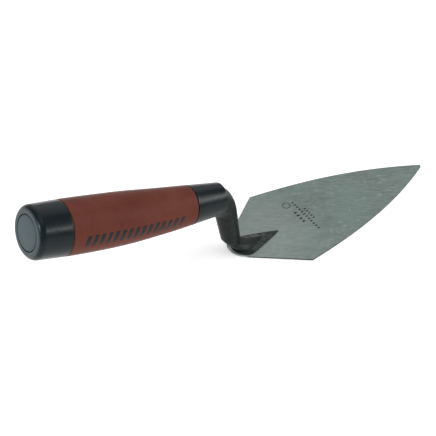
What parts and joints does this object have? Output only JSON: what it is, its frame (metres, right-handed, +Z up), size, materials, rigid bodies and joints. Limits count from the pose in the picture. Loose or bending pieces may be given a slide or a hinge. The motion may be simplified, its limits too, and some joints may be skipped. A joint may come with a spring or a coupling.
{
  "type": "pointing trowel",
  "caption": "Small brick trowel: thin pointed ground-steel blade, forged gooseneck shank and a two-colour soft-grip handle with a capped butt.",
  "frame": {"origin": "on the blade's flat underside, on its centreline, at the blade's widest section between the two shoulders", "axes": "+X along the blade's centreline towards its tip, +Y to the left seen from behind the handle, +Z up out of the blade's upper face; the handle lies towards -X and rises towards its butt"},
  "size_m": [0.2889, 0.0694, 0.0967],
  "materials": {
    "ground_steel": "satin ground, fine lengthwise grinding streaks",
    "forged_steel": "dark lacquered forging, semi-matte",
    "core_plastic": "moulded, unseen",
    "brick_red_grip": "soft-touch elastomer, matte",
    "black_grip": "soft-touch elastomer, low sheen",
    "plug_plastic": "moulded grey plastic, satin"
  },
  "bodies": {
    "root": {"blade": "ground_steel", "shank": "forged_steel", "handle_core": "core_plastic", "grip_sleeve": "brick_red_grip", "front_collar": "black_grip", "butt_cap": "black_grip", "end_plug": "plug_plastic"}
  },
  "joints": []
}
